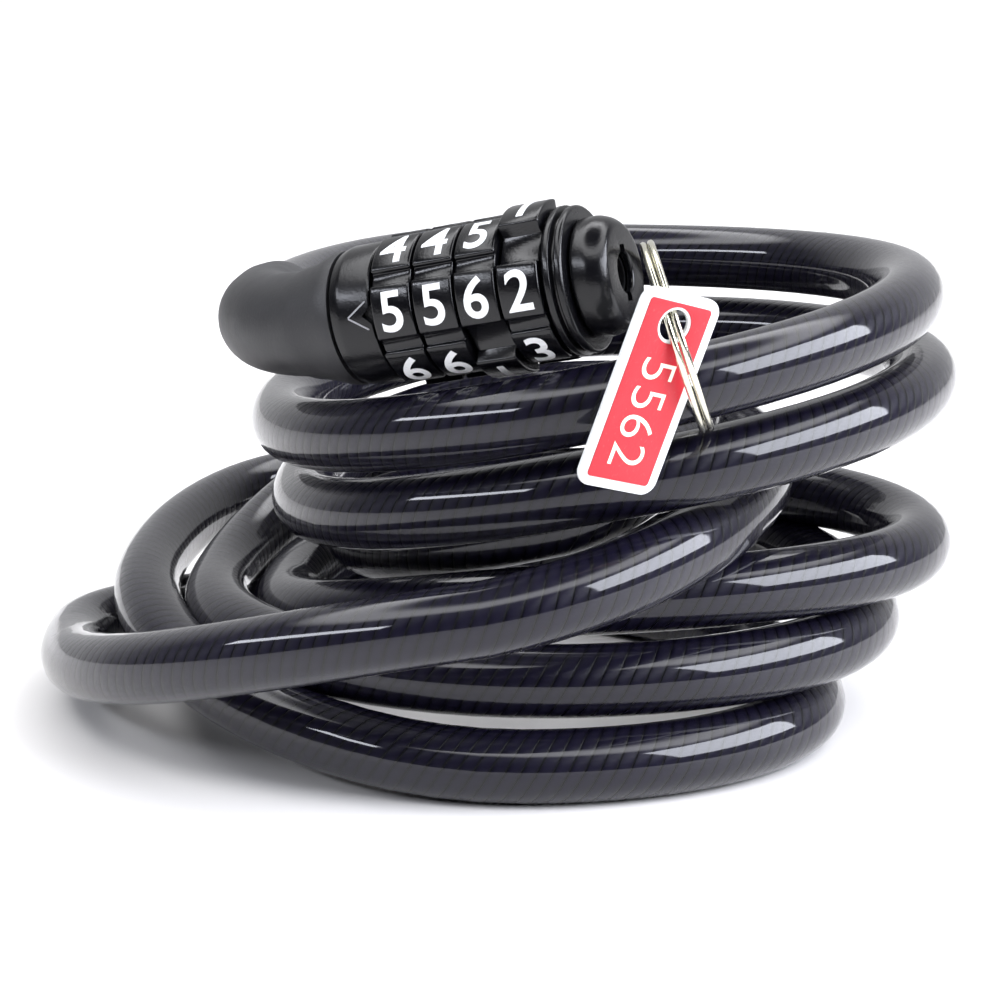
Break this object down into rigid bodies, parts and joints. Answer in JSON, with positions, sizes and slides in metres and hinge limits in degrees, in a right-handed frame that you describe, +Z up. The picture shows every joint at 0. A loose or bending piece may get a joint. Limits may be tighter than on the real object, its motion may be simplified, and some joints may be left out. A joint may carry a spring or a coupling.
{
  "type": "combination cable lock",
  "caption": "Number-wheel combination lock head on a self-coiling jacketed steel cable, shown open, with a pin plug on the far end and a split ring with a code tag.",
  "frame": {"origin": "on the ground, under the middle of the whole object's bounding box", "axes": "+Z up, -Y towards the side that shows the set number row, +X to the side the lock's mouth points to"},
  "size_m": [0.1348, 0.1398, 0.0802],
  "materials": {
    "shell": "glossy black moulding",
    "wheel": "glossy black moulding with white numbers",
    "boot": "soft matte black",
    "jacket": "smoky clear jacket over wire rope",
    "rope": "bare stranded wire rope",
    "steel": "plated",
    "gate_brass": "machined",
    "hub_metal": "die cast, dull",
    "ring_wire": "bright plated wire",
    "tag": "white plate",
    "label": "red printed panel"
  },
  "bodies": {
    "lock": {"index_sleeve": "shell", "core_tube": "steel", "end_collar": "shell", "nose_cap": "shell", "retaining_clip": "steel", "cable_ferrule": "steel", "wire_rope_end": "rope", "cross_pin": "steel", "wheel_hub_1": "hub_metal", "wheel_hub_2": "hub_metal", "wheel_hub_3": "hub_metal", "wheel_hub_4": "hub_metal", "detent_spring_1": "steel", "detent_spring_2": "steel", "detent_spring_3": "steel", "detent_spring_4": "steel", "head_boot": "boot", "cable": "jacket", "plug_boot": "boot", "plug_ferrule": "steel", "plug_rope_end": "rope", "plug_collar": "shell", "lock_pin": "steel"},
    "wheel_1": {"number_wheel_1": "wheel", "gate_ring_1": "gate_brass"},
    "wheel_2": {"number_wheel_2": "wheel", "gate_ring_2": "gate_brass"},
    "wheel_3": {"number_wheel_3": "wheel", "gate_ring_3": "gate_brass"},
    "wheel_4": {"number_wheel_4": "wheel", "gate_ring_4": "gate_brass"},
    "ball_1": {"detent_ball_1": "steel"},
    "ball_2": {"detent_ball_2": "steel"},
    "ball_3": {"detent_ball_3": "steel"},
    "ball_4": {"detent_ball_4": "steel"},
    "ring": {"split_ring": "ring_wire"},
    "tag": {"tag_plate": "tag", "tag_label": "label"}
  },
  "joints": [
    {"name": "wheel_1_turn", "type": "hinge", "parent": "lock", "child": "wheel_1", "pos_m": [-0.0085, -0.04222, 0.06508], "axis": [0.9059, -0.366, 0.213], "continuous": true},
    {"name": "wheel_2_turn", "type": "hinge", "parent": "lock", "child": "wheel_2", "pos_m": [-0.00306, -0.04442, 0.06636], "axis": [0.9059, -0.366, 0.213], "continuous": true},
    {"name": "wheel_3_turn", "type": "hinge", "parent": "lock", "child": "wheel_3", "pos_m": [0.00237, -0.04661, 0.06764], "axis": [0.9059, -0.366, 0.213], "continuous": true},
    {"name": "wheel_4_turn", "type": "hinge", "parent": "lock", "child": "wheel_4", "pos_m": [0.00781, -0.04881, 0.06892], "axis": [0.9059, -0.366, 0.213], "continuous": true},
    {"name": "ball_1_press", "type": "slide", "parent": "lock", "child": "ball_1", "axis": [0.3904, 0.9167, -0.0852], "range_m": [-0.0003, 0], "stiffness_N_per_m": 500},
    {"name": "ball_2_press", "type": "slide", "parent": "lock", "child": "ball_2", "axis": [0.3904, 0.9167, -0.0852], "range_m": [-0.0003, 0], "stiffness_N_per_m": 500},
    {"name": "ball_3_press", "type": "slide", "parent": "lock", "child": "ball_3", "axis": [0.3904, 0.9167, -0.0852], "range_m": [-0.0003, 0], "stiffness_N_per_m": 500},
    {"name": "ball_4_press", "type": "slide", "parent": "lock", "child": "ball_4", "axis": [0.3904, 0.9167, -0.0852], "range_m": [-0.0003, 0], "stiffness_N_per_m": 500},
    {"name": "ring_lean", "type": "hinge", "parent": "lock", "child": "ring", "pos_m": [0.028, -0.05467, 0.05138], "axis": [-0.0157, -0.9999, 0], "range_deg": [-35, 0]},
    {"name": "tag_swing", "type": "hinge", "parent": "ring", "child": "tag", "pos_m": [0.02291, -0.06639, 0.06685], "axis": [-0.9532, 0.015, -0.3021], "range_deg": [-10, 0]}
  ]
}
